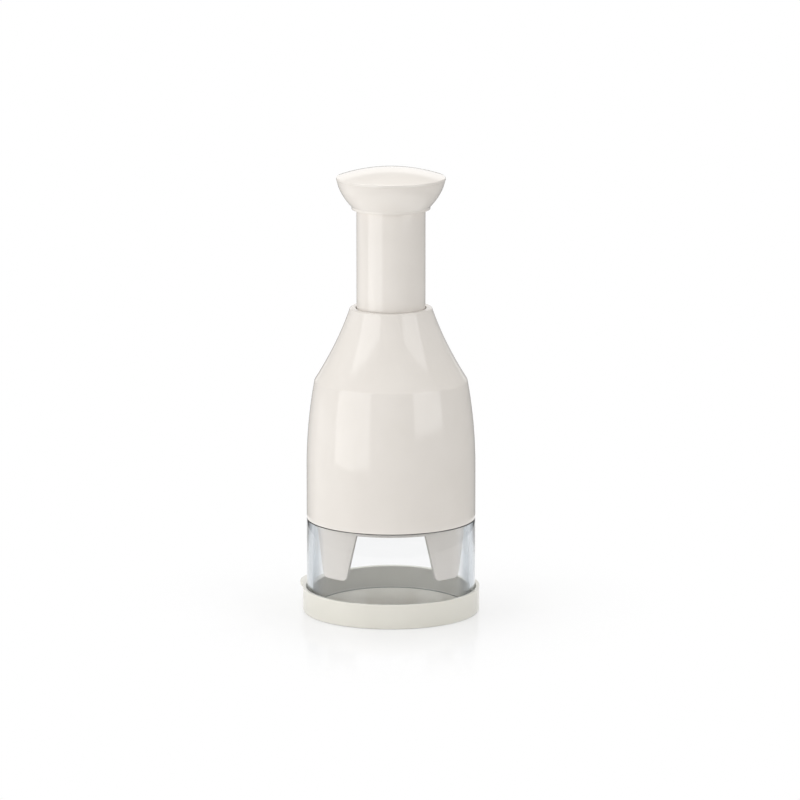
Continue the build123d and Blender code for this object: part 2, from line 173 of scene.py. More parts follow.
def sizeTree(name, sizes):
    # an empty Geometry Nodes tree with named inputs
    tree = bpy.data.node_groups.new(name, "GeometryNodeTree")
    interface = tree.interface
    interface.new_socket("Geometry", in_out="INPUT", socket_type="NodeSocketGeometry")
    kinds = {int: "NodeSocketInt", float: "NodeSocketFloat"}
    for label, value in sizes.items():
        kind = kinds.get(type(value), "NodeSocketMaterial")
        interface.new_socket(label, in_out="INPUT", socket_type=kind)
    interface.new_socket("Geometry", in_out="OUTPUT", socket_type="NodeSocketGeometry")
    return tree, tree.nodes.new("NodeGroupInput"), tree.nodes.new("NodeGroupOutput")


def closeTree(tree, geometry, given, result):
    realize = addNode(tree, "GeometryNodeRealizeInstances")
    finish = addNode(tree, "GeometryNodeSetMaterial")
    tree.links.new(geometry, realize.inputs["Geometry"])
    tree.links.new(realize.outputs["Geometry"], finish.inputs["Geometry"])
    tree.links.new(given.outputs["Material"], finish.inputs["Material"])
    tree.links.new(finish.outputs["Geometry"], result.inputs["Geometry"])


def growPiece(name, seed, tree, sizes, sharpAngle=meshing["sharpAngle"]):
    # runs a tree on a seed mesh and keeps the result as a plain mesh
    modifier = seed.modifiers.new(tree.name, "NODES")
    modifier.node_group = tree
    for item in tree.interface.items_tree:
        if item.item_type == "SOCKET" and item.in_out == "INPUT" and item.name in sizes:
            modifier[item.identifier] = sizes[item.name]
    graph = bpy.context.evaluated_depsgraph_get()
    mesh = bpy.data.meshes.new_from_object(seed.evaluated_get(graph))
    bpy.data.objects.remove(seed)
    return dressMesh(name, mesh, sizes["Material"], sharpAngle)


def ringOf(name, seed, count, material):
    # copies of the seed around the axis, each turned to face outwards
    sizes = {"Count": count, "Material": material}
    tree, given, result = sizeTree(name + "Tree", sizes)
    # all points are on the axis, because each copy brings its own reach
    points = addNode(tree, "GeometryNodeMeshCircle", Radius=0.0)
    index = addNode(tree, "GeometryNodeInputIndex")
    step = combine(tree, "DIVIDE", 2 * math.pi, given.outputs["Count"])
    angle = combine(tree, "MULTIPLY", index.outputs["Index"], step)
    spin = addNode(tree, "ShaderNodeCombineXYZ")
    place = addNode(tree, "GeometryNodeInstanceOnPoints")
    tree.links.new(given.outputs["Count"], points.inputs["Vertices"])
    tree.links.new(angle, spin.inputs["Z"])
    tree.links.new(points.outputs["Mesh"], place.inputs["Points"])
    tree.links.new(given.outputs["Geometry"], place.inputs["Instance"])
    tree.links.new(spin.outputs["Vector"], place.inputs["Rotation"])
    closeTree(tree, place.outputs["Instances"], given, result)
    return growPiece(name, seed, tree, sizes)


def seat(piece, body, slot, *replaced):
    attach(piece, body)
    if replaced:
        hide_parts(*replaced)
    return piece


# Finishes

noiseSpan = (0.3, 0.7)  # where most values of a noise texture are


def startFinish(name):
    material = bpy.data.materials.new(name)
    material.use_nodes = True
    tree = material.node_tree
    place = addNode(tree, "ShaderNodeTexCoord")
    return material, tree, tree.nodes["Principled BSDF"], place.outputs["Object"]


def speckle(tree, coords, scale, detail=3.0, stretch=None):
    if stretch:
        mapping = addNode(tree, "ShaderNodeMapping", Scale=stretch)
        tree.links.new(coords, mapping.inputs["Vector"])
        coords = mapping.outputs["Vector"]
    noise = addNode(tree, "ShaderNodeTexNoise", Scale=scale, Detail=detail)
    tree.links.new(coords, noise.inputs["Vector"])
    return noise.outputs["Fac"]


def toneBetween(tree, factor, first, second, socket, span=noiseSpan):
    ramp = addNode(tree, "ShaderNodeValToRGB")
    for element, tone, position in zip(ramp.color_ramp.elements, (first, second), span):
        element.position = position
        element.color = (*tone, 1)
    tree.links.new(factor, ramp.inputs["Fac"])
    tree.links.new(ramp.outputs["Color"], socket)


def spread(tree, value, span, levels, interpolation):
    node = addNode(tree, "ShaderNodeMapRange", {"interpolation_type": interpolation})
    for name, number in zip(("From Min", "From Max", "To Min", "To Max"), (*span, *levels)):
        node.inputs[name].default_value = number
    tree.links.new(value, node.inputs["Value"])
    return node.outputs["Result"]


def rangeTo(tree, factor, levels, socket):
    tree.links.new(spread(tree, factor, noiseSpan, levels, "LINEAR"), socket)


def smoothSpan(tree, value, span, levels=(0.0, 1.0)):
    return spread(tree, value, span, levels, "SMOOTHSTEP")


def blendSurface(tree, share, first, second):
    # the surface is first where share is 0 and second where it is 1
    blend = addNode(tree, "ShaderNodeMixShader")
    tree.links.new(share, blend.inputs["Fac"])
    tree.links.new(first, blend.inputs[1])
    tree.links.new(second, blend.inputs[2])
    tree.links.new(blend.outputs["Shader"], tree.nodes["Material Output"].inputs["Surface"])


def skin(tree, heights, shader, finish):
    # bumps one on top of the other
    normal = None
    for height in heights:
        bump = addNode(tree, "ShaderNodeBump", Strength=finish["bump"], Distance=finish["bumpDepth"])
        tree.links.new(height, bump.inputs["Height"])
        if normal:
            tree.links.new(normal, bump.inputs["Normal"])
        normal = bump.outputs["Normal"]
    tree.links.new(normal, shader.inputs["Normal"])


creamGloss = {
    "dark": (0.80, 0.757, 0.705),
    "light": (0.83, 0.787, 0.737),
    "roughness": (0.06, 0.10),
    "ior": 1.5,
    "patchScale": 38.0,
    "waveScale": 55.0,
    "grainScale": 1600.0,
    "bump": 0.06,
    "bumpDepth": 0.05 * mm,
}


def creamPlastic(name, tint=(1.0, 1.0, 1.0)):
    material, tree, shader, coords = startFinish(name)
    dark = [tone * share for tone, share in zip(creamGloss["dark"], tint)]
    light = [tone * share for tone, share in zip(creamGloss["light"], tint)]
    patch = speckle(tree, coords, creamGloss["patchScale"])
    grain = speckle(tree, coords, creamGloss["grainScale"], detail=2.0)
    wave = speckle(tree, coords, creamGloss["waveScale"], detail=1.0)
    toneBetween(tree, patch, dark, light, shader.inputs["Base Color"])
    rangeTo(tree, wave, creamGloss["roughness"], shader.inputs["Roughness"])
    shader.inputs["IOR"].default_value = creamGloss["ior"]
    skin(tree, [wave, grain], shader, creamGloss)
    return material


clearGloss = {
    "clear": (0.995, 0.997, 0.999),
    # edge is a painted grey-blue shade: the clear tone turns into it as the wall turns away from the
    # view
    "edge": (0.43, 0.48, 0.525),
    "edgeShadeSpan": (0.43, 0.66),  # from clear to edge as the wall turns away
    "roughness": (0.01, 0.04),
    "ior": 1.42,
    "drawScale": 60.0,
    "drawStretch": (1.0, 1.0, 0.08),
    "bump": 0.12,
    "bumpDepth": 0.1 * mm,
    "lampShare": (0.88, 0.885, 0.89, 1),  # of the lamps' light that passes
    "depthTone": (0.70, 0.79, 0.86, 1),
    "depthDensity": 4.0,
}


def clearPlastic():
    # clear where it is looked through straight, with a painted grey-blue shade where the wall is seen
    # edge on, in place of the darker reflections along the cup's sides
    material, tree, shader, coords = startFinish("clearMouldedPlastic")
    flow = speckle(tree, coords, clearGloss["drawScale"], detail=2.0, stretch=clearGloss["drawStretch"])
    facing = addNode(tree, "ShaderNodeLayerWeight", Blend=0.5)
    # the facing ramp paints the darker edges of the cup into its colour
    toneBetween(
        tree,
        facing.outputs["Facing"],
        clearGloss["clear"],
        clearGloss["edge"],
        shader.inputs["Base Color"],
        clearGloss["edgeShadeSpan"],
    )
    rangeTo(tree, flow, clearGloss["roughness"], shader.inputs["Roughness"])
    shader.inputs["IOR"].default_value = clearGloss["ior"]
    shader.inputs["Transmission Weight"].default_value = 1.0
    skin(tree, [flow], shader, clearGloss)
    path = addNode(tree, "ShaderNodeLightPath")
    through = addNode(tree, "ShaderNodeBsdfTransparent", Color=clearGloss["lampShare"])
    blendSurface(tree, path.outputs["Is Shadow Ray"], shader.outputs["BSDF"], through.outputs["BSDF"])
    depth = addNode(tree, "ShaderNodeVolumeAbsorption")
    depth.inputs["Color"].default_value = clearGloss["depthTone"]
    depth.inputs["Density"].default_value = clearGloss["depthDensity"]
    tree.links.new(depth.outputs["Volume"], tree.nodes["Material Output"].inputs["Volume"])
    return material


acetalFinish = {
    "dark": (0.80, 0.80, 0.77),
    "light": (0.85, 0.85, 0.83),
    "roughness": (0.32, 0.45),
    "cloudScale": 70.0,
    "grainScale": 1200.0,
    "bump": 0.1,
    "bumpDepth": 0.04 * mm,
}


def whiteAcetal():
    material, tree, shader, coords = startFinish("whiteAcetal")
    cloud = speckle(tree, coords, acetalFinish["cloudScale"])
    grain = speckle(tree, coords, acetalFinish["grainScale"], detail=2.0)
    toneBetween(tree, cloud, acetalFinish["dark"], acetalFinish["light"], shader.inputs["Base Color"])
    rangeTo(tree, cloud, acetalFinish["roughness"], shader.inputs["Roughness"])
    skin(tree, [grain], shader, acetalFinish)
    return material


metalSkin = {"stainShare": 0.1, "bump": 0.15, "bumpDepth": 0.02 * mm}
metals = {
    "blade_steel": {
        "name": "groundBladeSteel",
        "dark": (0.60, 0.61, 0.62),
        "light": (0.74, 0.745, 0.75),
        "roughness": (0.2, 0.32),
        "scale": 900.0,
        "stretch": (1.0, 1.0, 0.06),
    },
    "spring_steel": {
        "name": "drawnSpringSteel",
        "dark": (0.42, 0.43, 0.45),
        "light": (0.58, 0.59, 0.61),
        "roughness": (0.24, 0.38),
        "scale": 700.0,
        "stretch": (1.0, 1.0, 1.0),
    },
    "screw_steel": {
        "name": "platedScrewSteel",
        "dark": (0.62, 0.63, 0.64),
        "light": (0.72, 0.73, 0.74),
        "roughness": (0.14, 0.26),
        "scale": 600.0,
        "stretch": (1.0, 1.0, 1.0),
    },
}


def metalFinish(metal):
    # drawn or ground metal: fine lines along the stretched axis, and larger stains in its gloss
    material, tree, shader, coords = startFinish(metal["name"])
    lines = speckle(tree, coords, metal["scale"], detail=4.0, stretch=metal["stretch"])
    stain = speckle(tree, coords, metal["scale"] * metalSkin["stainShare"])
    toneBetween(tree, lines, metal["dark"], metal["light"], shader.inputs["Base Color"])
    rangeTo(tree, stain, metal["roughness"], shader.inputs["Roughness"])
    shader.inputs["Metallic"].default_value = 1.0
    skin(tree, [lines], shader, metalSkin)
    return material


rubberFinish = {
    "dark": (0.035, 0.035, 0.037),
    "light": (0.055, 0.055, 0.058),
    "roughness": (0.6, 0.8),
    "scale": 500.0,
    "bump": 0.3,
    "bumpDepth": 0.05 * mm,
}


def softRubber():
    material, tree, shader, coords = startFinish("softRubber")
    grain = speckle(tree, coords, rubberFinish["scale"], detail=4.0)
    toneBetween(tree, grain, rubberFinish["dark"], rubberFinish["light"], shader.inputs["Base Color"])
    rangeTo(tree, grain, rubberFinish["roughness"], shader.inputs["Roughness"])
    skin(tree, [grain], shader, rubberFinish)
    return material


finishes = {
    "body_plastic": creamPlastic("creamMouldedPlastic"),
    "clear_plastic": clearPlastic(),
    "bearing_plastic": whiteAcetal(),
    "bumper_rubber": softRubber(),
}
for slotName, metal in metals.items():
    finishes[slotName] = metalFinish(metal)
for subpart in frame["record"]["subparts"]:
    for place in nodes[subpart["node"]].material_slots:
        place.material = finishes[subpart["material_slot"]]
cream = finishes["body_plastic"]
print("finishes mixed:", len(finishes))


# Knob

knob = {
    "dome": 4.8 * mm,
    "rimRound": 0.6 * mm,
    "seamRound": 0.25 * mm,
    "spigotInset": 3.5 * mm,
    "spigotWall": 1.4 * mm,
    "footStep": 2.5 * mm,
    "footEdge": 1.3 * mm,
    "footRound": 0.35 * mm,
    "flareRound": 0.4 * mm,
    "bulge": 1.3 * mm,
    "wall": 2.0 * mm,
    "web": 2.5 * mm,
}


def makeKnobCap():
    cap = extent("knob_cap")
    seam = extent("knob_bowl")["high"]
    crown = (0, cap["high"])
    rim = (cap["radius"], cap["high"] - knob["dome"])
    spigot = extent("knob_bowl")["radius"] - knob["spigotInset"]
    outline = [crown]
    outline += bowed(crown, rim, (0, knob["dome"] / 4), steps=40)  # a quarter leaves the crown level
    outline += [
        (*rim, knob["rimRound"]),
        (rim[0], seam, knob["seamRound"]),
        (spigot, seam),
        (spigot, cap["low"], knob["seamRound"]),
        (spigot - knob["spigotWall"], cap["low"], knob["seamRound"]),
        (spigot - knob["spigotWall"], seam),
        (0, seam),
    ]
    return lathe("knobCap", softOutline(outline), cream)


def makeKnobBowl():
    bowl = extent("knob_bowl")
    tube = extent("plunger_tube")
    foot = tube["radius"] + knob["footStep"]
    flareLow = (foot, bowl["low"] + knob["footEdge"])
    flareHigh = (bowl["radius"], bowl["high"])
    webTop = tube["high"] + knob["web"]
    innerHigh = (bowl["radius"] - knob["wall"], bowl["high"])
    share = (bowl["high"] - webTop) / (bowl["high"] - flareLow[1])
    innerLow = (innerHigh[0] - share * (bowl["radius"] - foot), webTop)
    outline = [
        (tube["radius"], bowl["low"]),
        (foot, bowl["low"], knob["footRound"]),
        (*flareLow, knob["flareRound"]),
    ]
    outline += bowed(flareLow, flareHigh, (knob["bulge"], 0), steps=28)
    outline += [(*flareHigh, knob["seamRound"]), innerHigh]
    outline += bowed(innerHigh, innerLow, (knob["bulge"] * share ** 2, 0))
    outline += [innerLow, (0, webTop), (0, tube["high"]), (tube["radius"], tube["high"])]
    return lathe("knobBowl", softOutline(outline), cream)


seat(makeKnobCap(), "plunger", "body_plastic", "knob_cap")
seat(makeKnobBowl(), "plunger", "body_plastic", "knob_bowl")
print("knob turned")


# Plunger tube

plunger = {"wall": 1.9 * mm, "endRound": 0.5 * mm, "groove": 0.6 * mm}


def makePlungerTube():
    tube = extent("plunger_tube")
    stop = extent("stop_ring")
    outer = tube["radius"]
    bore = outer - plunger["wall"]
    outline = [
        (bore, tube["low"], plunger["endRound"]),
        (outer, tube["low"], plunger["endRound"]),
        (outer, stop["low"]),
        (outer - plunger["groove"], stop["low"]),
        (outer - plunger["groove"], stop["high"]),
        (outer, stop["high"]),
    ]
    outline += bowed((outer, stop["high"]), (outer, tube["high"]), (0, 0), steps=24)
    outline += [(outer, tube["high"]), (bore, tube["high"])]
    return lathe("plungerTube", softOutline(outline), cream)


seat(makePlungerTube(), "plunger", "body_plastic", "plunger_tube")
print("plunger tube turned")


# Screws

screws = {
    "headRadius": 2.8 * mm,
    "headHeight": 1.8 * mm,
    "headFlat": 0.75,  # share of the head's radius
    "headDrop": 0.5 * mm,
    "headRound": 0.4 * mm,
    "seatRound": 0.15 * mm,
    "pointLength": 1.2 * mm,
    "pointRound": 0.3 * mm,
    "pointFlat": 0.4,  # share of the shank's radius
    "slotWidth": 0.8 * mm,
    "slotDepth": 0.8 * mm,
    "sides": 48,
}
# up is 1 where the head is above its seat and -1 where it is below
screwSets = {
    "deckScrews": {"node": "deck_screws", "body": "housing", "shank": 1.4 * mm, "count": 4, "up": -1},
    "knobScrews": {"node": "knob_screws", "body": "plunger", "shank": 1.5 * mm, "count": 3, "up": 1},
}


def cutSlot(blank, top):
    # a straight slot across the head, cut by a block that is longer than the head is wide
    bm = bmesh.new()
    bmesh.ops.create_cube(bm, size=1.0)
    slotSize = Vector((4 * screws["headRadius"], screws["slotWidth"], 2 * screws["slotDepth"]))
    bmesh.ops.scale(bm, verts=bm.verts, vec=slotSize)
    bmesh.ops.translate(bm, verts=bm.verts, vec=(0, 0, top))
    cutter = meshObject("slotCutter", bm, finishes["screw_steel"])
    cut = blank.modifiers.new("slot", "BOOLEAN")
    cut.object = cutter
    cut.operation = "DIFFERENCE"
    cut.solver = "EXACT"
    graph = bpy.context.evaluated_depsgraph_get()
    blank.data = bpy.data.meshes.new_from_object(blank.evaluated_get(graph))
    blank.modifiers.clear()
    bpy.data.objects.remove(cutter)


def makeScrews(name):
    kind = screwSets[name]
    size = extent(kind["node"])
    up = kind["up"]
    top = size["high"] if up > 0 else size["low"]
    end = size["low"] if up > 0 else size["high"]
    seatHeight = top - up * screws["headHeight"]
    head = screws["headRadius"]
    shank = kind["shank"]
    outline = [
        (0, top),
        (head * screws["headFlat"], top),
        (head, top - up * screws["headDrop"], screws["headRound"]),
        (head, seatHeight, screws["seatRound"]),
        (shank, seatHeight),
        (shank, end + up * screws["pointLength"], screws["pointRound"]),
        (shank * screws["pointFlat"], end),
        (0, end),
    ]
    seed = lathe(name + "Seed", softOutline(outline), finishes["screw_steel"], screws["sides"])
    cutSlot(seed, top)
    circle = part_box(kind["node"])[1].x - head
    for vertex in seed.data.vertices:
        vertex.co.x += circle
    return ringOf(name, seed, kind["count"], finishes["screw_steel"])


for setName, kind in screwSets.items():
    seat(makeScrews(setName), kind["body"], "screw_steel", kind["node"])
print("screws set")


# Housing with its ribs and screw bosses

housing = {
    "wall": 1.7 * mm,
    "straight": 26.5 * mm,
    "crown": 4.1 * mm,
    "shoulderRound": 1.5 * mm,
    "coneHeight": 37.4 * mm,
    "coneHollow": 1.4 * mm,
    "hollowDrop": 0.6 * mm,
    "neckGap": 0.5 * mm,
    "neckRim": 2.8 * mm,
    "neckRound": 0.7 * mm,
    "holeRound": 0.3 * mm,
    "rimRound": 0.15 * mm,
    "bushFlange": 1.7 * mm,
    "socketWall": 1.8 * mm,
    "sides": 288,
    "ribs": 6,
    "ribThickness": 1.6 * mm,
    "ribSink": 0.4 * mm,
    "bossRadius": 3.2 * mm,
    "bossHeight": 18.0 * mm,
    "bossWeb": 4.0 * mm,
    "bossSink": 0.3 * mm,
    "bossSegments": 32,
}


def bellCurve(inset, drop):
    # outline from the rim up to the neck, moved in by the wall for the hollow
    shell = extent("housing_shell")
    tube = extent("plunger_tube")["radius"]
    radius = shell["radius"] - inset
    foot = (radius, shell["low"] + housing["straight"])
    shoulder = (
        shell["radius"] - housing["crown"] - inset,
        shell["high"] - housing["coneHeight"] - drop,
    )
    neck = (tube + housing["neckGap"] + housing["neckRim"] - inset, shell["high"])
    curve = bowed((radius, shell["low"]), foot, (0, 0), steps=8) + [foot]
    curve += bowed(foot, shoulder, (housing["crown"] / 4, 0), steps=36)
    curve.append(shoulder if inset else (*shoulder, housing["shoulderRound"]))
    curve += bowed(shoulder, neck, (-housing["coneHollow"], 0), steps=30) + [neck]
    return curve


def makeHousingShell():
    shell = extent("housing_shell")
    bush = extent("guide_bush")
    hole = extent("plunger_tube")["radius"] + housing["neckGap"]
    outside = bellCurve(0, 0)
    inside = bellCurve(housing["wall"], housing["hollowDrop"])
    socketLow = bush["low"] + housing["bushFlange"]
    socketOuter = bush["radius"]
    socketBore = socketOuter - housing["socketWall"]
    hollow = [p for p in inside if p[1] < bush["high"] and p[0] > socketOuter]
    outline = [(shell["radius"], shell["low"], housing["rimRound"])]
    outline += outside[:-1] + [(*outside[-1], housing["neckRound"])]
    outline += [
        (hole, shell["high"], housing["holeRound"]),
        (hole, bush["high"]),
        (socketBore, bush["high"]),
        (socketBore, socketLow),
        (socketOuter, socketLow),
        (socketOuter, hollow[-1][1]),
    ]
    outline += hollow[::-1]
    outline += [(shell["radius"] - housing["wall"], shell["low"], housing["rimRound"])]
    return lathe("housingShell", softOutline(outline), cream, housing["sides"])


def makeHousingRibs():
    bush = extent("guide_bush")
    low = bush["low"] + housing["bushFlange"]
    inner = bush["radius"] - housing["ribSink"]
    edge = bellCurve(housing["wall"] - housing["ribSink"], housing["hollowDrop"])
    edge = [p for p in edge if low < p[1] < bush["high"] and p[0] > inner]
    outline = [(inner, low), (edge[0][0], low)] + edge + [(inner, edge[-1][1])]
    thickness = housing["ribThickness"]
    corners = [(radius, -thickness / 2, height) for radius, height in outline]
    seed = extruded("ribSeed", corners, (0, thickness, 0), cream)
    return ringOf("housingRibs", seed, housing["ribs"], cream)


def makeScrewBosses():
    foot = extent("mechanism_deck")["high"]
    circle = extent("deck_screws")["radius"] - screws["headRadius"]
    wallSide = extent("housing_shell")["radius"] - housing["wall"] + housing["bossSink"]
    halfWeb = housing["bossWeb"] / 2
    radius = housing["bossRadius"]
    start = math.asin(halfWeb / radius)
    sweep = 2 * math.pi - 2 * start
    corners = [(wallSide, -halfWeb, foot), (wallSide, halfWeb, foot)]
    for step in range(housing["bossSegments"] + 1):
        angle = start + sweep * step / housing["bossSegments"]
        corners.append((circle + radius * math.cos(angle), radius * math.sin(angle), foot))
    seed = extruded("bossSeed", corners, (0, 0, housing["bossHeight"]), cream)
    return ringOf("screwBosses", seed, screwSets["deckScrews"]["count"], cream)


seat(makeHousingShell(), "housing", "body_plastic", "housing_shell")
seat(makeHousingRibs(), "housing", "body_plastic")
seat(makeScrewBosses(), "housing", "body_plastic")
print("housing turned")


# Clear cup

cup = {
    "wall": 3.0 * mm,
    "rimGap": 0.4 * mm,
    "spigotStep": 2.0 * mm,
    "edgeRound": 0.5 * mm,
    "shoulderRound": 0.2 * mm,
    "stepRound": 0.3 * mm,
    "sides": 320,
}


def makeClearCup():
    size = extent("clear_cup")
    radius = size["radius"]
    bore = radius - cup["wall"]
    spigot = radius - cup["spigotStep"]
    shoulder = extent("housing_shell")["low"] - cup["rimGap"]
    outline = [
        (bore, size["low"], cup["edgeRound"]),
        (radius, size["low"], cup["edgeRound"]),
        (radius, shoulder, cup["shoulderRound"]),
        (spigot, shoulder, cup["stepRound"]),
        (spigot, size["high"], cup["edgeRound"]),
        (bore, size["high"], cup["edgeRound"]),
    ]
    return lathe("clearCup", softOutline(outline, steps=8), finishes["clear_plastic"], cup["sides"])


seat(makeClearCup(), "cup", "clear_plastic", "clear_cup")
print("clear cup turned")


# Base cap with its pull tab

base = {
    "wall": 1.9 * mm,
    "floor": 2.4 * mm,
    "rimRound": 0.9 * mm,
    "footRound": 0.9 * mm,
    "boreRound": 0.7 * mm,
    "floorRound": 0.8 * mm,
    "tabReach": 4.6 * mm,
    "tabWidth": 36.0 * mm,
    "tabThickness": 2.4 * mm,
    "tabRound": 0.8 * mm,
    "tabCorner": 0.4 * mm,
    "tabFade": 1.5 * mm,
    "tabAngle": math.radians(152),
    "belowTab": 4.0 * mm,  # from the rim down to where the wall is the same all round
    "tint": (1.015, 1.045, 1.015),  # a little yellower than the housing
    "sides": 360,
}


def tabEdge(angle, radius):
    # distance of the tab's edge from the axis, or the wall's radius where there is no tab
    half = base["tabWidth"] / 2
    sag = radius - math.sqrt(radius ** 2 - half ** 2) + base["tabReach"]
    tabRadius = (half ** 2 + sag ** 2) / (2 * sag)
    middle = radius + base["tabReach"] - tabRadius
    off = math.remainder(angle - base["tabAngle"], 2 * math.pi)
    across = middle * math.sin(off)
    if abs(off) > math.pi / 2 or abs(across) > tabRadius:
        return radius
    return max(radius, middle * math.cos(off) + math.sqrt(tabRadius ** 2 - across ** 2))


def makeBaseCap():
    size = extent("base_cap")
    radius = size["radius"]
    bore = radius - base["wall"]
    high = size["high"]

    def outline(angle):
        edge = tabEdge(angle, radius)
        proud = min(1.0, (edge - radius) / base["tabFade"])  # the tab's own edges fade in from its ends
        under = high - base["tabThickness"] * proud
        soft = base["tabRound"] * proud
        corners = [
            (0, 0),
            (radius, 0, base["footRound"]),
            (radius, high - base["belowTab"]),
            (radius, under, base["tabCorner"] * proud),
            (edge, under, soft),
            (edge, high, base["rimRound"] * (1 - proud) + soft),
            (bore, high, base["boreRound"]),
            (bore, base["floor"], base["floorRound"]),
            (0, base["floor"]),
        ]
        return softOutline(corners)

    capCream = creamPlastic("creamCapPlastic", base["tint"])
    return lathe("baseCap", outline, capCream, base["sides"])


seat(makeBaseCap(), "base", "body_plastic", "base_cap")
print("base cap turned")


# Finger cage

cage = {
    "wall": 1.8 * mm,
    "cupGap": 0.3 * mm,
    "ledgeWidth": 2.3 * mm,
    "ledgeThickness": 1.2 * mm,
    "ledgeRound": 0.3 * mm,
    "band": 2.3 * mm,
    "fingers": 4,
    "fingerLength": 24.0 * mm,
    "rootWidth": 26.4 * mm,
    "tipWidth": 15.0 * mm,
    "tipRound": 3.0 * mm,
    "flangeThickness": 3.5 * mm,
    "flangeReach": 6.9 * mm,
    "edgeRound": 0.45 * mm,
    "columns": {"tip": 4, "corner": 10, "side": 12, "gap": 12},
    "sharpAngle": 38,
}


def makeFingerCage():
    size = extent("finger_cage")
    outer = extent("clear_cup")["radius"] - cup["wall"] - cage["cupGap"]
    bore = outer - cage["wall"]
    ledge = bore - cage["ledgeWidth"]
    flange = bore - cage["flangeReach"]
    flangeLow = size["high"] - cage["flangeThickness"]
    ringLow = extent("housing_shell")["low"] - cage["band"]
    ledgeTop = ringLow + cage["ledgeThickness"]
    spigotTop = extent("clear_cup")["high"]
    tip = ringLow - cage["fingerLength"]
    rootHalf = cage["rootWidth"] / 2
    tipHalf = cage["tipWidth"] / 2
    tipRound = cage["tipRound"]
    slope = cage["fingerLength"] / (rootHalf - tipHalf)
    lean = math.atan(slope)
    cut = tipRound * math.tan(lean / 2)  # from the tip's corner to where its rounding starts
    roundStart = tipHalf - cut
    roundEnd = tipHalf + cut * math.cos(lean)
    halfTurn = math.pi / cage["fingers"]

    def lowEdge(x):
        # height of a finger's lower edge at x off its middle line
        if x >= rootHalf:
            return ringLow
        if x >= roundEnd:
            return tip + (x - tipHalf) * slope
        if x <= roundStart:
            return tip
        return tip + tipRound - math.sqrt(tipRound ** 2 - (x - roundStart) ** 2)

    def outline(angle):
        off = math.remainder(angle - halfTurn, 2 * halfTurn)
        low = lowEdge(abs(outer * math.sin(off)))
        corners = [
            (outer, low, cage["edgeRound"]),
            (outer, spigotTop),
            (size["radius"], spigotTop, cage["edgeRound"]),
            (size["radius"], size["high"], cage["edgeRound"]),
            (flange, size["high"], cage["edgeRound"]),
            (flange, flangeLow, cage["edgeRound"]),
            (bore, flangeLow),
            (bore, ledgeTop),
            (ledge, ledgeTop, cage["ledgeRound"]),
            (ledge, ringLow, cage["ledgeRound"]),
            (bore, ringLow),
            (bore, low, cage["edgeRound"]),
        ]
        return softOutline(corners, steps=4)

    # columns stand close together along the fingers' sides and tips
    columns = cage["columns"]
    gapEnd = outer * math.sin(halfTurn)
    marks = [roundStart * i / columns["tip"] for i in range(columns["tip"] + 1)]
    for i in range(1, columns["corner"] + 1):
        marks.append(roundStart + tipRound * math.sin(lean * i / columns["corner"]))
    for i in range(1, columns["side"] + 1):
        marks.append(roundEnd + (rootHalf - roundEnd) * i / columns["side"])
    for i in range(1, columns["gap"]):
        marks.append(rootHalf + (gapEnd - rootHalf) * i / columns["gap"])
    offsets = [math.asin(x / outer) for x in marks]
    offsets = sorted(set(offsets + [-a for a in offsets] + [halfTurn]))
    angles = []
    for finger in range(cage["fingers"]):
        middle = (2 * finger + 1) * halfTurn
        angles += [middle + a for a in offsets]
    return lathe("fingerCage", outline, cream, angles, cage["sharpAngle"])


seat(makeFingerCage(), "housing", "body_plastic", "finger_cage")
print("finger cage made")


# Return spring

spring = {
    "wire": 1.1 * mm,
    "turns": 13,
    "endPitch": 2.8 * mm,
    "pointsPerTurn": 48,
    "wireSides": 16,
    "sharpAngle": 60,
}


def clamped(tree, turns, low, high):
    # how far the turns have gone from low to high
    limit = addNode(tree, "ShaderNodeClamp", Min=0.0, Max=high - low)
    tree.links.new(combine(tree, "SUBTRACT", turns, low), limit.inputs["Value"])
    return limit.outputs["Result"]


